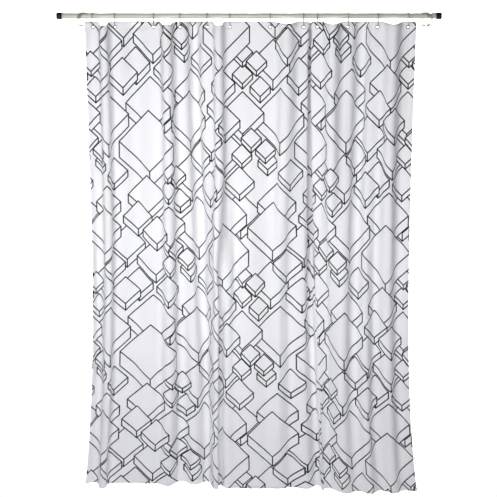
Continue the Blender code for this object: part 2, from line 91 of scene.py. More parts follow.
CLOTH_WIDTH = 1.800
CLOTH_HEIGHT = 2.000
EYELET_PITCH = 0.1575
EYELET_BELOW_EDGE = 0.0210
EYELET_U = (CLOTH_WIDTH - EYELET_PITCH * 11) / 2 + EYELET_PITCH * np.arange(12)
CLOTH_TOP_Z = EYELET_Z + EYELET_BELOW_EDGE
FLAT_BESIDE_EYELET = 0.0100
TOP_HEM = 0.034
LOW_HEM = 0.025
SIDE_HEM = 0.012
HEM_LAYERS = 2.5
STITCH_PITCH = 0.004
STITCH_THREAD = 0.0005
STITCH_SHARE = 0.72
HEM_STITCH_IN = 0.003
SIDE_STITCH_IN = 0.002
EYELET_CUT_RADIUS = 0.0060

# How the cloth hangs, as in the CAD part
FLAP_TURN = math.radians(22)
SAG_PER_SLACK = 0.12
HEM_SAG_SHARE = 0.3
FOLD_CHANGE_FROM = 0.04
FOLD_CHANGE_TO = 1.75
HEM_FLARE_LEFT = 0.073
HEM_FLARE_RIGHT = 0.074
FLARE_POWER_LEFT = 3.3
FLARE_POWER_RIGHT = 4.0
SPAN_WINDOW = 0.090
SPAN_ROUNDS = 60
SPAN_RATE = 0.8
LARGEST_TURN_FACTOR = 3.0
STEEPEST_HEM_SLOPE = 0.97
HEM_FOLDS = (
    (0.000, 0.030), (0.034, 0.050), (0.115, -0.006), (0.180, 0.046), (0.249, 0.060),
    (0.322, 0.030), (0.355, 0.042), (0.405, 0.006), (0.470, 0.060), (0.525, 0.034),
    (0.590, 0.062), (0.700, -0.044), (0.752, -0.004), (0.805, -0.034), (0.840, -0.020),
    (0.900, -0.092), (0.975, -0.030), (1.020, -0.040), (1.075, 0.014), (1.120, -0.012),
    (1.170, 0.030), (1.215, -0.014), (1.262, 0.034), (1.310, 0.006), (1.350, 0.016),
    (1.440, -0.088), (1.505, -0.044), (1.568, -0.082), (1.625, -0.032), (1.690, -0.066),
    (1.750, -0.024), (1.800, -0.044),
)

# The print's boxes, front first: across, down, half diagonal of the top face, depth of the
# sides, in centimetres on flat cloth. The unit repeats every REPEAT across, and half as far
# across at half the REPEAT down.
REPEAT = (0.905, 0.912)
BOXES = (
    (80, 39, 6, 3), (72, 33, 6, 3), (76, 24, 8, 3.5), (15.5, 7.5, 6, 3), (2, 15.5, 4, 2),
    (3.5, 25.5, 4, 2.5), (21.5, 20, 6, 3), (27, 16, 6, 3), (40.5, 18, 6, 2.5), (62.5, 14, 5.5, 2.5),
    (41.5, 7, 4, 2), (0, 46, 4, 2), (51, 5, 4, 2), (52, 9.5, 4, 2.5), (54.5, 37.5, 10.5, 4.5),
    (-3.5, 36, 8.5, 3.5), (32, 47.5, 12.5, 6.5), (79.5, 50.5, 8, 3.5), (67.5, 44.5, 7.5, 3.5),
    (12.5, 36.5, 11, 5), (56.5, 27, 8.5, 4), (8.5, 15, 8, 4), (-3.5, 12, 4, 2), (-3.5, 20.5, 4, 2),
    (33, 32, 10.5, 4.5), (41, 31, 8.5, 3.5),
)
LINES_PER_FACE = 7
INK_BLEED = 0.0008
INK_SOFTNESS = 0.0004

# Where the folds drift sideways on their way down: place across the cloth, how far along X
# at the hem, and the half width of the stretch that drifts
DRIFTS = ((1.205, 0.055, 0.10), (0.560, 0.050, 0.12), (0.150, -0.012, 0.10))

# Small creases: those round an eyelet grow with the cloth that its rings leave slack
CREASE_REACH = 0.05
CREASE_REACH_PER_SLACK = 0.7
CREASE_HEIGHT = 0.0009
CREASE_HEIGHT_PER_SLACK = 0.022
BUCKLES = 14
BUCKLE_HEIGHT = 0.0032

CLOTH_COLUMNS = 330
CLOTH_ROWS = 110
CLOSEST_GRID_LINES = 0.0014
DRAPE_SAMPLES = 1441

# Rod, rings and eyelets
TUBE_WALL = 0.0008
TUBE_SIDES = 64
SEAT_GAP = 0.0003
CAP_END_THICKNESS = 0.004
GRIP_RIBS = 28
GRIP_RIB_DEPTH = 0.00035
THREAD_PITCH = 0.002
RING_KNOB_RADIUS = 0.0026
RING_SLIT = 0.0003
RING_SLIT_ANGLE = math.radians(-60)
SPARE_RING_TURN = 38
FLANGE_THICKNESS = 0.0008

# Studio
FLOOR_BELOW_HEM = 0.12
FLOOR_SIDES = (-9.0, 10.5)
FLOOR_FRONT, FLOOR_BACK = -9.0, 5.0
FLOOR_CURVE = 1.5
WALL_HEIGHT = 7.0


def linear(hex_colour):
    """An sRGB colour such as "#F2F1EA" as linear red, green, blue and full alpha."""
    parts = np.array([int(hex_colour[k : k + 2], 16) for k in (1, 3, 5)]) / 255
    parts = np.where(parts <= 0.04045, parts / 12.92, ((parts + 0.055) / 1.055) ** 2.4)
    return (*parts.tolist(), 1.0)


def smooth_step(value, start, end):
    """0 before start, 1 after end, and between them 3t^2 - 2t^3."""
    t = np.clip((np.asarray(value, float) - start) / (end - start), 0, 1)
    return t * t * (3 - 2 * t)


# ---------------------------------------------------------------- meshes


def surface(name, points, wrap=(False, False), keep=None):
    """A mesh over a grid of points (rows, columns, 3); each face joins four neighbours, and a
    wrapped direction joins its last line to its first. keep is a mask of the faces to keep."""
    rows, columns = points.shape[:2]
    index = np.arange(rows * columns).reshape(rows, columns)
    for axis in (0, 1):
        if wrap[axis]:
            index = np.concatenate([index, index.take([0], axis)], axis)
    quads = np.stack([index[:-1, :-1], index[1:, :-1], index[1:, 1:], index[:-1, 1:]], -1)
    quads = quads[keep] if keep is not None else quads.reshape(-1, 4)
    used, corners = np.unique(quads, return_inverse=True)
    mesh = bpy.data.meshes.new(name)
    mesh.vertices.add(len(used))
    mesh.vertices.foreach_set("co", points.reshape(-1, 3)[used].astype(np.float32).ravel())
    mesh.loops.add(quads.size)
    mesh.loops.foreach_set("vertex_index", corners.ravel().astype(np.int32))
    mesh.polygons.add(len(quads))
    mesh.polygons.foreach_set("loop_start", np.arange(0, quads.size, 4, dtype=np.int32))
    mesh.update(calc_edges=True)
    mesh.validate()
    return mesh, used


def tidy_shell(mesh):
    """Merges doubled points, closes the poles they leave and turns every face outwards."""
    shell = bmesh.new()
    shell.from_mesh(mesh)
    bmesh.ops.remove_doubles(shell, verts=shell.verts, dist=1e-6)
    bmesh.ops.recalc_face_normals(shell, faces=shell.faces)
    shell.to_mesh(mesh)
    shell.free()
    return mesh


def piece(name, mesh, made_of, body, stands_for, sharp_degrees=40):
    """Puts a mesh into the scene as a piece that moves with a CAD body."""
    for one in made_of:
        mesh.materials.append(one)
    mesh.shade_smooth()
    if sharp_degrees:
        mesh.set_sharp_from_angle(angle=math.radians(sharp_degrees))
    made = bpy.data.objects.new(name, mesh)
    bpy.context.scene.collection.objects.link(made)
    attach(made, body)
    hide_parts(*stands_for)
    return made


def rounded(profile):
    """Cuts the corners of a closed row of points: it puts two points on every side, a quarter
    of the way in from its ends."""
    points = np.asarray(profile, float)
    run = np.roll(points, -1, axis=0) - points
    return np.stack([points + 0.25 * run, points + run - 0.25 * run], 1).reshape(-1, 2)


def lathe(name, profile, sides, closed, ribs=None):
    """A profile of (x, radius) points carried round the X axis. ribs gives how much of the
    radius to take away, from x and the angle."""
    x, radius = np.asarray(profile, float).T
    angle = np.linspace(0, 2 * np.pi, sides, endpoint=False)
    grown = radius[:, None] + np.zeros(sides)
    if ribs is not None:
        grown = grown - ribs(x[:, None], radius[:, None], angle[None, :])
    points = np.stack(
        [x[:, None] + 0 * grown, grown * np.cos(angle), grown * np.sin(angle)], axis=-1
    )
    mesh, _ = surface(name, points, (closed, True))
    return tidy_shell(mesh)


def moved(mesh, shift, turn=0.0, half_turn=False):
    """A mesh turned about Z, then shifted. With half_turn it first turns half way round Z."""
    co = np.empty(len(mesh.vertices) * 3, np.float32)
    mesh.vertices.foreach_get("co", co)
    co = co.reshape(-1, 3)
    if half_turn:
        co[:, :2] *= -1
    c, s = math.cos(turn), math.sin(turn)
    spun = np.stack([co[:, 0] * c - co[:, 1] * s, co[:, 0] * s + co[:, 1] * c, co[:, 2]], -1)
    mesh.vertices.foreach_set("co", (spun + np.array(shift)).astype(np.float32).ravel())
    mesh.update()
    return mesh


# ---------------------------------------------------------------- materials


def node(tree, kind, inputs=(), out=0, **settings):
    """Adds a node and gives one of its outputs. inputs are sockets to link or values to set, in
    order or by name; settings are the node's own."""
    made = tree.nodes.new("ShaderNode" + kind)
    for key, value in settings.items():
        setattr(made, key, value)
    for key, value in inputs.items() if isinstance(inputs, dict) else enumerate(inputs):
        if isinstance(value, bpy.types.NodeSocket):
            tree.links.new(value, made.inputs[key])
        else:
            made.inputs[key].default_value = value
    return made.outputs[out]


def shader_material(name, colour, roughness, metallic=0.0, **sockets):
    """A new material and its Principled shader, with the values that are the same all over."""
    made = bpy.data.materials.new(name)
    made.use_nodes = True
    shader = made.node_tree.nodes["Principled BSDF"]
    shader.inputs["Base Color"].default_value = colour
    shader.inputs["Roughness"].default_value = roughness
    shader.inputs["Metallic"].default_value = metallic
    for key, value in sockets.items():
        shader.inputs[key.replace("_", " ")].default_value = value
    made.diffuse_color = colour
    return made, shader


def grain(made, shader, per_metre, strength, depth, shades=None, stretch=(1, 1, 1), rough=None):
    """Adds a fine noise to a shader: to its height, and where given to its colour or roughness."""
    tree = made.node_tree
    place = node(tree, "TexCoord", out="Object")
    scaled = node(tree, "Mapping", {"Vector": place, "Scale": stretch})
    noise = node(
        tree, "TexNoise", {"Vector": scaled, "Scale": per_metre, "Detail": 4.0, "Roughness": 0.55}
    )
    bump = node(tree, "Bump", {"Height": noise, "Strength": strength, "Distance": depth})
    tree.links.new(bump, shader.inputs["Normal"])
    if shades:
        mixed = node(tree, "Mix", {0: noise, 6: shades[0], 7: shades[1]}, 2, data_type="RGBA")
        tree.links.new(mixed, shader.inputs["Base Color"])
    if rough:
        spread = node(tree, "MapRange", (noise, 0.3, 0.7, *rough))
        tree.links.new(spread, shader.inputs["Roughness"])


def shade(colour, factor):
    """A linear colour made lighter or darker."""
    return (*[min(1.0, c * factor) for c in colour[:3]], 1.0)


def enamel(look):
    """Powder-coated steel tube: satin ivory with the faint orange-peel of a baked coat."""
    colour = linear(look.enamel)
    made, shader = shader_material(
        "ivory_powder_coat", colour, 0.32, Coat_Weight=0.25, Coat_Roughness=0.2
    )
    shades = (shade(colour, 0.96), shade(colour, 1.03))
    grain(made, shader, 420, 0.12, 0.0002, shades, rough=(0.28, 0.38))
    return made


def zinc(name, hex_colour, stretch, rough=(0.25, 0.42)):
    """Zinc-plated steel: a grey metal with fine drawn lines along the piece."""
    colour = linear(hex_colour)
    made, shader = shader_material(name, colour, 0.33, 1.0)
    shades = (shade(colour, 0.9), shade(colour, 1.06))
    grain(made, shader, 900, 0.1, 0.0001, shades, stretch, rough)
    return made


def moulded(name, hex_colour, roughness, **sockets):
    """Injection-moulded plastic: even colour with the slight ripple that the mould leaves."""
    colour = linear(hex_colour)
    made, shader = shader_material(name, colour, roughness, IOR=1.5, **sockets)
    grain(made, shader, 700, 0.08, 0.0002, (shade(colour, 0.97), shade(colour, 1.02)))
    return made


def rubber(look):
    """Moulded black rubber: matt, with a fine pebbled skin that greys where it is handled."""
    colour = linear(look.rubber)
    made, shader = shader_material("black_rubber", colour, 0.7, IOR=1.45)
    grain(made, shader, 1800, 0.35, 0.0003, (colour, shade(colour, 1.8)), rough=(0.6, 0.8))
    return made


def clear_plastic(look):
    """Moulded polystyrene wire: milky with a faint green-grey cast, satin, with flow lines."""
    colour = linear(look.ring)
    made, shader = shader_material("milky_polystyrene", colour, 0.45, IOR=1.45)
    grain(made, shader, 260, 0.15, 0.0004)
    return made


def aged_nickel():
    """Nickel-plated brass, stamped: a dulled grey metal with soft, slightly uneven gloss."""
    made, shader = shader_material("nickel_plated_brass", linear("#6A6A6E"), 0.42, 1.0)
    shades = (linear("#606064"), linear("#747478"))
    grain(made, shader, 1500, 0.08, 0.0001, shades, rough=(0.36, 0.5))
    return made


def line_distance(tree, place):
    """The distance in metres from a point on flat cloth to the nearest printed line. Each face
    holds the two ends of the few lines near it; the distance to a line is the length from the
    point to its foot on the line, which is kept between the line's ends."""
    nearest = None
    for k in range(LINES_PER_FACE):
        first, last = [
            node(tree, "Attribute", (), "Vector", attribute_name=f"line_{k}_{end}") for end in "ab"
        ]
        out = node(tree, "VectorMath", (place, first), operation="SUBTRACT")
        run = node(tree, "VectorMath", (last, first), operation="SUBTRACT")
        dots = [
            node(tree, "VectorMath", (way, run), "Value", operation="DOT_PRODUCT")
            for way in (out, run)
        ]
        share = node(tree, "Math", dots, operation="DIVIDE", use_clamp=True)
        foot = node(tree, "VectorMath", {0: run, "Scale": share}, operation="SCALE")
        away = node(tree, "VectorMath", (out, foot), "Value", operation="DISTANCE")
        nearest = node(tree, "Math", (nearest, away), operation="MINIMUM") if nearest else away
    return nearest


def stitches(tree, across, down):
    """1 on the thread of each hem's lock stitch and 0 elsewhere: dashes 4 mm apart."""
    edges = (
        (down, across, TOP_HEM - HEM_STITCH_IN),
        (down, across, CLOTH_HEIGHT - LOW_HEM + HEM_STITCH_IN),
        (across, down, SIDE_HEM - SIDE_STITCH_IN),
        (across, down, CLOTH_WIDTH - SIDE_HEM + SIDE_STITCH_IN),
    )
    stitched = 0.0
    for over, along_hem, at in edges:
        near = node(tree, "Math", (over, at, STITCH_THREAD), operation="COMPARE")
        phase = node(tree, "Math", (along_hem, STITCH_PITCH), operation="FLOORED_MODULO")
        dash = node(tree, "Math", (phase, STITCH_SHARE * STITCH_PITCH), operation="LESS_THAN")
        stitched = node(
            tree, "Math", (near, dash, stitched), operation="MULTIPLY_ADD", use_clamp=True
        )
    return stitched


def polyester(name, look, ink_share):
    """Plain-woven polyester: cool white threads with a soft sheen, printed with a black line
    that soaks a little into the weave, and lock-stitched hems. Its threads are 0.3 mm apart;
    the weave is drawn 1.2 mm apart so that it can show."""
    colour, ink = linear(look.cloth), linear(look.ink)
    made, shader = shader_material(
        name, colour, 0.78, IOR=1.46, Sheen_Weight=0.25, Sheen_Roughness=0.4
    )
    tree = made.node_tree
    flat = node(tree, "UVMap", uv_map="flat_cloth")
    sizes = (CLOTH_WIDTH, CLOTH_HEIGHT, 0.0)
    place = node(tree, "VectorMath", (flat, sizes), operation="MULTIPLY")
    across = node(tree, "SeparateXYZ", (place,))
    down = across.node.outputs[1]

    bleed = node(tree, "TexNoise", {"Vector": place, "Scale": 700.0, "Detail": 2.0})
    away = node(
        tree, "Math", (bleed, INK_BLEED, line_distance(tree, place)), operation="MULTIPLY_ADD"
    )
    half = look.line_width / 2 + INK_SOFTNESS
    span = (away, half - INK_SOFTNESS, half + INK_SOFTNESS, ink_share, 0.0)
    inked = node(tree, "MapRange", span, interpolation_type="SMOOTHSTEP")

    rate = 2 * math.pi / look.weave
    threads = []
    for way in (across, down):
        phase = node(tree, "Math", (way, rate), operation="MULTIPLY")
        threads.append(node(tree, "Math", (phase,), operation="SINE"))
    weave = node(tree, "Math", threads, operation="MULTIPLY")
    slub = node(tree, "Mapping", {"Vector": place, "Scale": (18.0, 260.0, 1.0)})
    slubs = node(tree, "TexNoise", {"Vector": slub, "Scale": 1.0, "Detail": 2.0})
    crumple = node(tree, "TexNoise", {"Vector": place, "Scale": 16.0, "Detail": 3.0})
    stitched = stitches(tree, across, down)

    shades = {0: slubs, 6: shade(colour, 0.975), 7: shade(colour, 1.02)}
    tone = node(tree, "Mix", shades, 2, data_type="RGBA")
    thread = node(tree, "Math", (stitched, 0.5), operation="MULTIPLY")
    sewn = node(tree, "Mix", {0: thread, 6: tone, 7: shade(colour, 0.7)}, 2, data_type="RGBA")
    printed = node(tree, "Mix", {0: inked, 6: sewn, 7: ink}, 2, data_type="RGBA")
    tree.links.new(printed, shader.inputs["Base Color"])

    height = node(tree, "Math", (crumple, 12.0, weave), operation="MULTIPLY_ADD")
    height = node(tree, "Math", (stitched, 2.5, height), operation="MULTIPLY_ADD")
    bump = node(tree, "Bump", {"Height": height, "Strength": 0.5, "Distance": 0.00012})
    tree.links.new(bump, shader.inputs["Normal"])
    return made


# ---------------------------------------------------------------- hung cloth


def fold_turn(chord, length):
    """The largest turn a of a fold whose turn is a sin(2 pi t) over its length, for its chord."""
    low, high = 0.0, 2.4
    t = (np.arange(200) + 0.5) / 200
    for _ in range(50):
        turn = (low + high) / 2
        if length * np.cos(turn * np.sin(2 * np.pi * t)).mean() > chord:
            low = turn
        else:
            high = turn
    return (low + high) / 2


def top_turns(u):
    """The cloth's turn from +X and its sag along the top edge: flat at the eyelets, and one
    fold between each pair, as deep as the spare cloth between their rings allows."""
    turns, sags = np.zeros_like(u), np.zeros_like(u)
    length = EYELET_PITCH - 2 * FLAT_BESIDE_EYELET
    for k, gap in enumerate(np.diff(RING_X)):
        side = -1 if k % 2 == 0 else 1
        t = np.clip((u - EYELET_U[k] - FLAT_BESIDE_EYELET) / length, 0, 1)
        turns += side * fold_turn(gap - 2 * FLAT_BESIDE_EYELET, length) * np.sin(2 * np.pi * t)
        sags += SAG_PER_SLACK * (EYELET_PITCH - gap) * np.sin(np.pi * t) ** 2
    turns[u < EYELET_U[0] - FLAT_BESIDE_EYELET] = FLAP_TURN
    turns[u > EYELET_U[-1] + FLAT_BESIDE_EYELET] = -FLAP_TURN
    return turns, sags


def hem_turns(u):
    """The cloth's turn from +X along the hem: the slope of a smooth curve through HEM_FOLDS."""
    places, depths = np.array(HEM_FOLDS).T
    span = np.clip(np.searchsorted(places, u, side="right") - 1, 0, len(places) - 2)
    length = (places[1:] - places[:-1])[span]
    t = (u - places[span]) / length
    slope = (depths[1:] - depths[:-1])[span] * 6 * t * (1 - t) / length
    return np.arcsin(np.clip(slope, -STEEPEST_HEM_SLOPE, STEEPEST_HEM_SLOPE))


def along(slopes, step):
    """The running sum of a slope over equal steps, starting at 0."""
    return np.concatenate([[0.0], np.cumsum((slopes[1:] + slopes[:-1]) / 2)]) * step


def blurred(values, step):
    """Values averaged over a bell-shaped window, with the end values carried past the ends."""
    reach = int(3 * SPAN_WINDOW / step)
    bell = np.exp(-0.5 * (np.arange(-reach, reach + 1) * step / SPAN_WINDOW) ** 2)
    return np.convolve(np.pad(values, reach, mode="edge"), bell / bell.sum(), mode="valid")


def scaled_to_span(turn, wanted, step):
    """Scales the turns, more here and less there, until their blurred cosines are as wanted."""
    factor = np.ones_like(turn)
    for _ in range(SPAN_ROUNDS):
        factor *= 1 + SPAN_RATE * (blurred(np.cos(turn * factor), step) - wanted)
        factor = np.clip(factor, 0.0, LARGEST_TURN_FACTOR)
    return turn * factor


def hung_cloth(columns, rows):
    """Points and turns of the hung cloth at flat places. Each level keeps the cloth's full
    width along its curve: its turns blend from the top's to the hem's and are scaled until
    each stretch spans what the rings above it span; the points are their running sums."""
    fine = np.linspace(0, CLOTH_WIDTH, DRAPE_SAMPLES)
    step = fine[1] - fine[0]
    at_top, sags = top_turns(fine)
    at_hem = hem_turns(fine)
    top_span = blurred(np.cos(at_top), step)
    left_top = RING_X[0] - FLAT_BESIDE_EYELET
    left_top -= (EYELET_U[0] - FLAT_BESIDE_EYELET) * math.cos(FLAP_TURN)
    width_top = RING_X[-1] - RING_X[0] + 2 * (RING_X[0] - left_top)
    points = np.zeros((len(rows), len(columns), 3))
    turns = np.zeros((len(rows), len(columns)))
    for k, v in enumerate(rows):
        share = float(smooth_step(v, FOLD_CHANGE_FROM, FOLD_CHANGE_TO))
        turn = at_top * (1 - share) + at_hem * share
        down = v / CLOTH_HEIGHT
        left = left_top - HEM_FLARE_LEFT * down**FLARE_POWER_LEFT
        width = left_top - left + width_top + HEM_FLARE_RIGHT * down**FLARE_POWER_RIGHT
        if share > 0:
            turn = scaled_to_span(turn, top_span * width / width_top, step)
        x, y = (along(f(turn), step) for f in (np.cos, np.sin))
        x = x * (width / x[-1] if share > 0 else 1.0) + left
        y -= np.interp(EYELET_U[0], fine, y) * (1 - share)
        planned_end = (HEM_FOLDS[-1][1] - HEM_FOLDS[0][1]) * share
        y += (planned_end - (y[-1] - y[0])) * fine / CLOTH_WIDTH * smooth_step(share, 0, 0.2)
        y += HEM_FOLDS[0][1] * share
        z = CLOTH_TOP_Z - v - sags * (1 - (1 - HEM_SAG_SHARE) * down)
        for axis, values in enumerate((x, y, z)):
            points[k, :, axis] = np.interp(columns, fine, values)
        turns[k] = np.interp(columns, fine, turn)
    for middle, shift, reach in DRIFTS:
        bell = np.exp(-(((columns - middle) / reach) ** 2))
        points[..., 0] += shift * bell * smooth_step(rows, 0.1, CLOTH_HEIGHT)[:, None]
    below = np.maximum(rows - TOP_HEM, 0)
    weight = np.gradient(rows)
    lean = (points[..., 1].mean(axis=1) * weight).sum() / (below * weight).sum()
    points[..., 1] -= lean * below[:, None]
    return points, turns


def wrinkles(u, v):
    """How far the cloth stands out from its folds: creases fanning down from each eyelet, each
    a cosine of the angle about it that dies away with distance, and long soft buckles, the sum
    of slanting waves."""
    out = np.zeros(np.broadcast(u, v).shape)
    dice = np.random.default_rng(11)
    slack = EYELET_PITCH - np.append(np.diff(RING_X), EYELET_PITCH * 0.7)
    for k, middle in enumerate(EYELET_U):
        du, dv = u - middle, v - EYELET_BELOW_EDGE
        r = np.hypot(du, dv)
        fan = np.cos(dice.integers(4, 7) * np.arctan2(du, dv) + dice.uniform(0, 6.28))
        reach = CREASE_REACH + CREASE_REACH_PER_SLACK * max(slack[k], 0)
        height = CREASE_HEIGHT + CREASE_HEIGHT_PER_SLACK * max(slack[k], 0)
        fading = smooth_step(r, 0.012, 0.035) * np.exp(-((r / reach) ** 2))
        out += height * fan * fading * (dv > -0.02)
    soft = np.zeros_like(out)
    for _ in range(BUCKLES):
        wide, tall = dice.uniform(0.05, 0.19), dice.uniform(0.35, 1.5) * dice.choice([-1, 1])
        phase = dice.uniform(0, 2 * np.pi)
        soft += wide * np.sin(2 * np.pi * (u / wide + v / tall) + phase)
    out += soft * BUCKLE_HEIGHT * smooth_step(v, 0.03, 0.35)
    return out


def hexagon(u, v, half, deep):
    """The outline of a box: its top face's top and right corners, the low ends of its sides,
    and the left corner, as rows of points going round."""
    du = np.array([0, 1, 1, 0, -1, -1]) * half
    dv = np.array([-1, 0, 0, 1, 0, 0]) * half + np.array([0, 0, 1, 1, 1, 0]) * deep
    return np.stack([u + du, v + dv], axis=-1)


def hidden_spans(start, end, outlines):
    """For a line and some convex outlines, the share of the line where it enters each outline
    and where it leaves: the largest entry and least exit over the outline's sides."""
    sides = np.roll(outlines, -1, axis=1) - outlines
    inward = np.stack([-sides[..., 1], sides[..., 0]], axis=-1)
    height = ((start - outlines) * inward).sum(-1)
    rate = (inward * (end - start)).sum(-1)
    with np.errstate(divide="ignore", invalid="ignore"):
        cross = -height / rate
    enter = np.where(rate > 1e-9, cross, np.where((rate >= -1e-9) & (height < 1e-6), 2.0, -1.0))
    leave = np.where(rate < -1e-9, cross, 2.0)
    return np.maximum(enter.max(1), 0), np.minimum(leave.min(1), 1)


def repeat_shift(i, j):
    """Where the unit in column i of half row j starts: every other half row stands half a
    repeat across."""
    return i * REPEAT[0] + (j % 2) * REPEAT[0] / 2, j * REPEAT[1] / 2


def unit_lines():
    """The visible lines of one unit: the edges of each box, less what the outlines of the
    boxes in front of it hide."""
    boxes = np.array(BOXES, float) / 100
    shifts = [repeat_shift(i, j) for i in range(-2, 2) for j in range(-2, 3)]
    lines = []
    for k, (u, v, half, deep) in enumerate(boxes):
        ring = hexagon(u, v, half, deep)
        top, right, right_low, low, left_low, left = ring
        near = np.array([u, v + half])
        edges = [(top, right), (top, left), (left, near), (near, right), (left, left_low)]
        edges += [(near, low), (right, right_low), (left_low, low), (low, right_low)]
        front = [hexagon(a + du, b + dv, c, d) for a, b, c, d in boxes[:k] for du, dv in shifts]
        for start, end in edges:
            spans = []
            if front:
                enter, leave = hidden_spans(start, end, np.array(front))
                spans = sorted(zip(enter[enter < leave], leave[enter < leave]))
            at = 0.0
            for enter, leave in [*spans, (1.0, 1.0)]:
                if enter - at > 0.02:
                    lines.append([*(start + (end - start) * at), *(start + (end - start) * enter)])
                at = max(at, leave)
    return np.array(lines)


def printed_lines():
    """The unit's lines repeated over the whole cloth."""
    unit = unit_lines()
    shifts = [repeat_shift(i, j) for j in range(-2, 6) for i in range(-2, 3)]
    lines = np.concatenate([unit + np.tile(shift, 2) for shift in shifts])
    low, high = lines.reshape(-1, 2, 2).min(1), lines.reshape(-1, 2, 2).max(1)
    inside = (high > -0.01).all(1) & (low < (CLOTH_WIDTH + 0.01, CLOTH_HEIGHT + 0.01)).all(1)
    return lines[inside]


def lines_near(places, reach, lines):
    """The ends of the nearest lines to each place, nearest first, by the distance to the foot
    on each line. Lines out of reach, and places with fewer, get one far away."""
    far = np.full(4, -9.0)
    found = np.tile(far, (len(places), LINES_PER_FACE, 1))
    order = np.argsort(places[:, 1], kind="stable")
    ends = np.sort(lines[:, 1::2], axis=1)
    for chunk in np.array_split(order, 200):
        at = places[chunk]
        low, high = at[:, 1].min() - reach.max(), at[:, 1].max() + reach.max()
        close = lines[(ends[:, 0] < high) & (ends[:, 1] > low)]
        if not len(close):
            continue
        run = close[:, 2:] - close[:, :2]
        out = at[:, None] - close[None, :, :2]
        share = np.clip((out * run).sum(-1) / (run**2).sum(-1), 0, 1)
        away = np.linalg.norm(out - share[..., None] * run, axis=-1)
        away[away > reach[chunk, None]] = 9.0
        best = np.argsort(away, axis=1)[:, :LINES_PER_FACE]
        picked = close[best]
        picked[np.take_along_axis(away, best, 1) > 1] = far
        found[chunk, : best.shape[1]] = picked
    return found


def grid_places(steps, hems, length):
    """Equal steps with closer ones beside the eyelets and at the hems, at least 1.4 mm apart."""
    places = np.sort(np.concatenate([np.linspace(0, length, steps + 1), hems]))
    fixed = set(np.round(hems, 6)) | {0.0, length}
    kept = [0.0]
    for place in places[1:]:
        if place - kept[-1] < CLOSEST_GRID_LINES:
            if round(place, 6) in fixed and kept[-1] > 0:
                kept[-1] = place
            continue
        kept.append(place)
    kept[-1] = length
    return np.array(kept)


class CurtainLook(bpy.types.PropertyGroup):
    """Sizes and colours that a user may change."""

    thickness: FloatProperty(
        name="Cloth thickness", description="Thickness of the cloth away from its hems",
        default=0.0004, min=0.0002, max=0.002, subtype="DISTANCE", unit="LENGTH",
    )
    line_width: FloatProperty(
        name="Line width", description="Width of the printed lines",
        default=0.0050, min=0.001, max=0.02, subtype="DISTANCE", unit="LENGTH",
    )
    weave: FloatProperty(
        name="Weave", description="Distance between the threads as drawn",
        default=0.0012, min=0.0003, max=0.01, subtype="DISTANCE", unit="LENGTH",
    )
    cloth: StringProperty(name="Cloth", description="Cloth colour, sRGB hex", default="#F4F4F7")
    ink: StringProperty(name="Ink", description="Printed line colour, sRGB hex", default="#1C1D21")
    enamel: StringProperty(name="Enamel", description="Rod colour, sRGB hex", default="#CECEC1")
    rubber: StringProperty(name="Rubber", description="End colour, sRGB hex", default="#0B0B0C")
    ring: StringProperty(name="Rings", description="Ring colour, sRGB hex", default="#A6A798")


class StageLook(bpy.types.PropertyGroup):
    """The floor, the light and the camera."""

    floor: StringProperty(name="Floor", description="Floor colour, sRGB hex", default="#FBFBFB")
    lens: FloatProperty(
        name="Lens", description="Focal length on a 36 mm wide sensor",
        default=93.1, min=20, max=200,
    )
    camera_place: FloatVectorProperty(
        name="Camera", description="Where the camera stands", default=(0.743, -5.015, 0.608),
        size=3, subtype="TRANSLATION", unit="LENGTH",
    )
    camera_pitch: FloatProperty(
        name="Pitch", description="How far the camera looks down", default=math.radians(17.172),
        subtype="ANGLE", unit="ROTATION",
    )


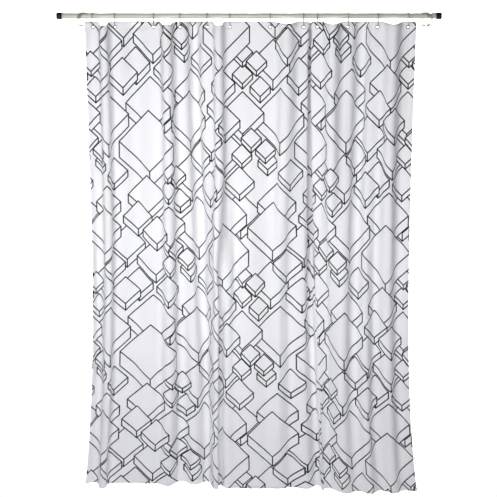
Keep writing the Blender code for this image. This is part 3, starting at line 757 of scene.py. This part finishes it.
class CURTAIN_OT_cloth(bpy.types.Operator):
    """Make the printed cloth, hung in folds from its eyelets"""

    bl_idname = "curtain.cloth"
    bl_label = "Cloth"

    def execute(self, context):
        look = context.scene.curtain_look
        beside = np.arange(-0.012, 0.0121, 0.003)
        across = np.append(EYELET_U[:, None] + beside, [SIDE_HEM, CLOTH_WIDTH - SIDE_HEM])
        down = np.append(EYELET_BELOW_EDGE + beside, [TOP_HEM, CLOTH_HEIGHT - LOW_HEM])
        columns = grid_places(CLOTH_COLUMNS, across, CLOTH_WIDTH)
        rows = grid_places(CLOTH_ROWS, down, CLOTH_HEIGHT)
        points, turns = hung_cloth(columns, rows)
        u, v = np.meshgrid(columns, rows)
        out = wrinkles(u, v)
        points[..., 0] += np.sin(turns) * out
        points[..., 1] -= np.cos(turns) * out

        centre_u, centre_v = (columns[1:] + columns[:-1]) / 2, (rows[1:] + rows[:-1]) / 2
        off = np.abs(centre_u[:, None] - EYELET_U).min(1)
        from_eyelet = np.hypot(off[None, :], (centre_v - EYELET_BELOW_EDGE)[:, None])
        keep = from_eyelet > EYELET_CUT_RADIUS
        mesh, used = surface("curtain_cloth", points, keep=keep)

        uv = mesh.uv_layers.new(name="flat_cloth")
        corner = np.empty(len(mesh.loops), np.int32)
        mesh.loops.foreach_get("vertex_index", corner)
        flat = np.stack([u.ravel()[used], v.ravel()[used]], -1)
        shares = flat[corner] / (CLOTH_WIDTH, CLOTH_HEIGHT)
        uv.data.foreach_set("uv", shares.astype(np.float32).ravel())

        places = np.stack(np.meshgrid(centre_u, centre_v), -1)[keep]
        sizes = np.stack(np.meshgrid(np.diff(columns), np.diff(rows)), -1)[keep]
        reach = np.linalg.norm(sizes, axis=1) / 2 + look.line_width / 2 + 0.001
        nearest = lines_near(places, reach, printed_lines())
        for k in range(LINES_PER_FACE):
            for end, at in (("a", 0), ("b", 2)):
                layer = mesh.attributes.new(f"line_{k}_{end}", "FLOAT_VECTOR", "FACE")
                values = np.zeros((len(places), 3), np.float32)
                values[:, :2] = nearest[:, k, at : at + 2]
                if end == "b":
                    values[nearest[:, k, 0] < -8, 0] += 0.1
                layer.data.foreach_set("vector", values.ravel())

        sides = polyester("printed_polyester", look, 1.0), polyester("polyester_back", look, 0.16)
        cloth = piece("curtain_cloth", mesh, sides, "curtain", ("curtain_panel",), None)
        from_hem = np.minimum.reduce([
            flat[:, 0] - SIDE_HEM, CLOTH_WIDTH - SIDE_HEM - flat[:, 0],
            flat[:, 1] - TOP_HEM, CLOTH_HEIGHT - LOW_HEM - flat[:, 1],
        ])
        group = cloth.vertex_groups.new(name="hems")
        for chosen, weight in ((from_hem <= 1e-5, 1.0), (from_hem > 1e-5, 1 / HEM_LAYERS)):
            group.add(np.flatnonzero(chosen).tolist(), weight, "REPLACE")
        wall = cloth.modifiers.new("thickness", "SOLIDIFY")
        wall.thickness = look.thickness * HEM_LAYERS
        wall.offset = 0.0
        wall.vertex_group = "hems"
        wall.material_offset = 1
        wall.material_offset_rim = 0
        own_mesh(cloth)
        return {"FINISHED"}


class CURTAIN_OT_rod(bpy.types.Operator):
    """Make the rod's two tubes, its rubber ends, collars and guide bush"""

    bl_idname = "curtain.rod"
    bl_label = "Rod"

    def execute(self, context):
        look = context.scene.curtain_look
        ivory, black = enamel(look), rubber(look)
        plated = zinc("zinc_plated_steel", "#C9CCD0", (0.05, 1, 1))
        pale = moulded("pale_abs", "#C4C4C0", 0.4)
        nylon = moulded("natural_nylon", "#E9E7DC", 0.45, Subsurface_Weight=0.1)

        for name, node_name, body, made_of, slot in (
            ("rod_outer_tube", "outer_tube", "rod", ivory, "rod_enamel"),
            ("rod_inner_tube", "inner_tube", "inner_rod", plated, "rod_steel"),
        ):
            low, high = box_of(node_name)
            x0, x1, r, bore = low[0], high[0], high[1], high[1] - TUBE_WALL
            profile = [
                (x0, bore), (x0, r), (x0 + 0.002, r), (x1 - 0.002, r),
                (x1, r), (x1, bore), (x1 - 0.002, bore), (x0 + 0.002, bore),
            ]
            mesh = lathe(name, rounded(profile), TUBE_SIDES, True)
            piece(name, mesh, (made_of,), body, (node_name,))

        for name, node_name, body, flip in (
            ("rubber_end_left", "left_end_cap", "rod", False),
            ("rubber_end_right", "right_end_cap", "inner_rod", True),
        ):
            low, high = box_of(node_name)
            tube = box_of("inner_tube" if flip else "outer_tube")[1, 1]
            mesh = self.end_cap(name, high[0] - low[0], high[1], tube + SEAT_GAP)
            moved(mesh, (high[0], 0, 0) if flip else (low[0], 0, 0), 0.0, flip)
            piece(name, mesh, (black,), body, (node_name,))

        for name, node_name, body, inner in (
            ("collar_left", "left_collar", "rod", "outer_tube"),
            ("collar_right", "right_collar", "inner_rod", "inner_tube"),
        ):
            low, high = box_of(node_name)
            bore = box_of(inner)[1, 1] + SEAT_GAP
            x0, x1, r = low[0], high[0], high[1]
            profile = [
                (x0, bore), (x0, r - 0.0006), (x0 + 0.0008, r),
                (x1 - 0.0008, r), (x1, r - 0.0006), (x1, bore),
            ]
            mesh = lathe(name, rounded(profile), TUBE_SIDES, True)
            piece(name, mesh, (pale,), body, (node_name,))

        for name in ("guide_bush", "lock_sleeve", "lock_cone", "inner_plug", "spring_stop"):
            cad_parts[name].material_slots[0].material = nylon
        thread = zinc("turned_steel", "#BFC2C6", (1, 1, 1))
        self.cut_thread(thread)
        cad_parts["lock_spindle"].material_slots[0].material = thread
        wire = zinc("spring_steel", "#A9ACB0", (1, 0.2, 0.2), (0.2, 0.35))
        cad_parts["tension_spring"].material_slots[0].material = wire
        return {"FINISHED"}

    @staticmethod
    def end_cap(name, length, radius, bore):
        """A cup turned from its flat wall face round its lip to the inside of its end; shallow
        grip ribs are taken off its side as a cosine of the angle, faded out at both ends."""
        end = CAP_END_THICKNESS
        profile = [
            (0.0, 0.0), (0.0, radius * 0.5), (0.0, radius - 0.0018),
            (0.0012, radius - 0.0004), (0.0028, radius),
            *[(x, radius) for x in np.linspace(0.005, length - 0.003, 7)],
            (length - 0.0012, radius), (length, radius - 0.0006), (length, bore + 0.0002),
            (length - 0.0008, bore), (end + 0.0002, bore), (end, bore - 0.0004),
            (end, bore * 0.5), (end, 0.0),
        ]

        def ribs(x, r, angle):
            side = smooth_step(x, 0.004, 0.007)
            side = side * (1 - smooth_step(x, length - 0.005, length - 0.003)) * (r > bore + 0.001)
            return GRIP_RIB_DEPTH * side * (0.5 - 0.5 * np.cos(GRIP_RIBS * angle))

        return lathe(name, profile, 6 * GRIP_RIBS, False, ribs)

    @staticmethod
    def cut_thread(made):
        """Gives the spindle's metal a screw thread of 2 mm pitch: a wave along it. Wave Texture
        makes 20 radians of each unit of length."""
        tree = made.node_tree
        place = node(tree, "TexCoord", out="Object")
        scale = 2 * math.pi / (20 * THREAD_PITCH)
        wave = node(tree, "TexWave", {"Vector": place, "Scale": scale}, "Fac", bands_direction="X")
        bump = node(tree, "Bump", {"Height": wave, "Strength": 0.6, "Distance": 0.0006})
        tree.links.new(bump, tree.nodes["Principled BSDF"].inputs["Normal"])


class CURTAIN_OT_rings(bpy.types.Operator):
    """Make the clear rings that carry the cloth and the spare ones at both ends"""

    bl_idname = "curtain.rings"
    bl_label = "Rings"

    def execute(self, context):
        made_of = clear_plastic(context.scene.curtain_look)
        for name in RING_NAMES:
            x = float(box_of(name)[:, 0].mean())
            body = "curtain" if name == "ring_01" else name
            mesh = moved(self.ring(f"clear_{name}"), (x, 0, 0))
            piece(f"clear_{name}", mesh, (made_of,), body, (name,), 60)
        for side, turn in (("left", -SPARE_RING_TURN), ("right", SPARE_RING_TURN)):
            body = f"spare_rings_{side}"
            for k in (1, 2, 3):
                name = f"spare_ring_{side}_{k}"
                x = float(box_of(name)[:, 0].mean())
                mesh = moved(self.ring(f"clear_{name}"), (x, 0, 0), math.radians(turn))
                piece(f"clear_{name}", mesh, (made_of,), body, (name,), 60)
        return {"FINISHED"}

    @staticmethod
    def ring(name):
        """A round wire carried round a circle that hangs on the rod. The wire's radius swells
        to a knob beside the slit and closes at both ends along a quarter circle."""
        low, high = box_of("ring_02")
        wire = float(high[0] - low[0]) / 2
        radius = float(high[2] - low[2]) / 2 - wire
        middle = float(high[2] + low[2]) / 2
        t = np.linspace(0, 1, 121)
        closer = t[:6] ** 2 * 2
        knob, tail = np.linspace(0, 0.016, 7), np.linspace(0, 0.012, 7)
        t = np.unique(np.concatenate([t, closer, 1 - closer, knob, 1 - tail]))
        run = (2 * np.pi * radius - RING_SLIT) * t
        angle = RING_SLIT_ANGLE + (RING_SLIT / 2 + run) / radius
        left = run[-1] - run
        swell = 1 - smooth_step(run, 0.0035, 0.0065)
        thick = wire + (RING_KNOB_RADIUS - wire) * swell
        for gone in (run, left):
            thick = thick * np.sqrt(np.clip(1 - (1 - np.clip(gone / 0.0012, 0, 1)) ** 2, 0, 1))
        around = np.linspace(0, 2 * np.pi, 14, endpoint=False)
        wide = np.minimum(thick, wire)
        out = np.stack([0 * angle, -np.cos(angle), np.sin(angle)], -1)
        points = out[:, None] * (radius + thick[:, None] * np.cos(around))[..., None]
        points[..., 0] += wide[:, None] * np.sin(around)
        points[..., 2] += middle
        mesh, _ = surface(name, points, (False, True))
        return tidy_shell(mesh)


class CURTAIN_OT_eyelets(bpy.types.Operator):
    """Make the rolled metal eyelets along the top hem"""

    bl_idname = "curtain.eyelets"
    bl_label = "Eyelets"

    def execute(self, context):
        """Each is a rounded section carried round a circle: two domed flanges and a barrel."""
        nickel = aged_nickel()
        low, high = box_of("eyelet_02")
        half, outer = float(high[1]), float(high[0] - low[0]) / 2
        seat = half - FLANGE_THICKNESS
        profile = [
            (-half, 0.0047), (-half, 0.0060), (-half + 0.0002, outer - 0.0003),
            (-seat - 0.0001, outer), (-seat, outer - 0.0004), (-seat, 0.0053),
            (-seat * 0.4, 0.0050), (seat * 0.4, 0.0050),
            (seat, 0.0053), (seat, outer - 0.0004), (seat + 0.0001, outer),
            (half - 0.0002, outer - 0.0003), (half, 0.0060), (half, 0.0047),
            (half * 0.6, 0.0040), (-half * 0.6, 0.0040),
        ]
        for k, ring in enumerate(RING_NAMES, start=1):
            name = f"metal_eyelet_{k:02d}"
            mesh = lathe(name, rounded(profile), 40, True)
            moved(mesh, (float(RING_X[k - 1]), 0, EYELET_Z), math.pi / 2)
            body = "curtain" if k == 1 else ring
            piece(name, mesh, (nickel,), body, (f"eyelet_{k:02d}",), 60)
        return {"FINISHED"}


class CURTAIN_OT_stage(bpy.types.Operator):
    """Make the pale floor, the soft studio light and the camera"""

    bl_idname = "curtain.stage"
    bl_label = "Stage"

    def execute(self, context):
        stage = context.scene.stage_look
        self.sweep(stage)
        self.lights()
        camera = bpy.data.cameras.new("camera")
        camera.lens, camera.sensor_width = stage.lens, 36.0
        camera.clip_start, camera.clip_end = 0.05, 60.0
        holder = bpy.data.objects.new("camera", camera)
        holder.location = stage.camera_place
        holder.rotation_euler = (math.pi / 2 - stage.camera_pitch, 0.0, 0.0)
        context.scene.collection.objects.link(holder)
        context.scene.camera = holder
        context.scene.view_settings.view_transform = "Standard"
        return {"FINISHED"}

    @staticmethod
    def sweep(stage):
        """A floor that curves up at the back into a wall: a quarter circle between two planes."""
        floor_z = CAD_BOX[0][2] - FLOOR_BELOW_HEM
        turn = np.linspace(0, np.pi / 2, 17)
        curve_y = FLOOR_BACK + FLOOR_CURVE * np.sin(turn)
        curve_z = FLOOR_CURVE - FLOOR_CURVE * np.cos(turn)
        y = np.concatenate([[FLOOR_FRONT], curve_y, [FLOOR_BACK + FLOOR_CURVE]])
        z = np.concatenate([[0.0], curve_z, [WALL_HEIGHT]]) + floor_z
        x = np.linspace(*FLOOR_SIDES, 3)
        points = np.stack(np.broadcast_arrays(x, y[:, None], z[:, None]), -1)
        mesh, _ = surface("studio_floor", points[:, ::-1])
        colour = linear(stage.floor)
        made, shader = shader_material("matt_paper", colour, 0.9)
        grain(made, shader, 30, 0.05, 0.001, (shade(colour, 0.995), colour))
        mesh.materials.append(made)
        mesh.shade_smooth()
        floor = bpy.data.objects.new("studio_floor", mesh)
        bpy.context.scene.collection.objects.link(floor)

    @staticmethod
    def lights():
        """A wide soft key in front on the left, a weaker fill on the right, a strong light behind
        that falls on the floor and the wall only, and even air light."""
        world = bpy.data.worlds.new("studio_air")
        world.use_nodes = True
        air = world.node_tree.nodes["Background"].inputs
        air["Color"].default_value = (0.84, 0.84, 1.0, 1.0)
        air["Strength"].default_value = 0.12
        bpy.context.scene.world = world
        for name, place, aim, size, spread, power in (
            ("key", (0.05, -2.2, -0.66), (0.6, 0.0, -0.68), 2.0, 102, 19.0),
            ("fill", (1.8, -2.4, -0.75), (0.8, 0.0, -0.75), 2.0, 112, 4.3),
            ("back", (0.75, 2.9, 2.4), (0.75, 4.9, -2.2), 4.5, 106, 760.0),
        ):
            lamp = bpy.data.lights.new(name, "AREA")
            lamp.shape, lamp.size, lamp.energy = "SQUARE", size, power
            lamp.spread = math.radians(spread)
            holder = bpy.data.objects.new(name, lamp)
            holder.location = place
            holder.visible_camera = False
            way = np.array(aim) - np.array(place)
            flat = math.hypot(way[0], way[1])
            holder.rotation_euler = (math.atan2(flat, -way[2]), 0.0, math.atan2(-way[0], way[1]))
            bpy.context.scene.collection.objects.link(holder)


class VIEW3D_PT_curtain(bpy.types.Panel):
    """The curtain's sizes, colours and pieces"""

    bl_label = "Shower Curtain"
    bl_idname = "VIEW3D_PT_curtain"
    bl_space_type = "VIEW_3D"
    bl_region_type = "UI"
    bl_category = "Curtain"

    def draw(self, context):
        for group in (context.scene.curtain_look, context.scene.stage_look):
            box = self.layout.box()
            for name in group.__annotations__:
                box.prop(group, name)
        for step in STEPS:
            self.layout.operator(f"curtain.{step}")


STEPS = ("cloth", "rod", "rings", "eyelets", "stage")
CLASSES = (
    CurtainLook, StageLook, CURTAIN_OT_cloth, CURTAIN_OT_rod, CURTAIN_OT_rings, CURTAIN_OT_eyelets,
    CURTAIN_OT_stage, VIEW3D_PT_curtain,
)


def register():
    for one in CLASSES:
        bpy.utils.register_class(one)
    bpy.types.Scene.curtain_look = PointerProperty(type=CurtainLook)
    bpy.types.Scene.stage_look = PointerProperty(type=StageLook)


def unregister():
    del bpy.types.Scene.stage_look
    del bpy.types.Scene.curtain_look
    for one in reversed(CLASSES):
        bpy.utils.unregister_class(one)


def main():
    register()
    for step in STEPS:
        getattr(bpy.ops.curtain, step)()


if __name__ == "__main__":
    main()
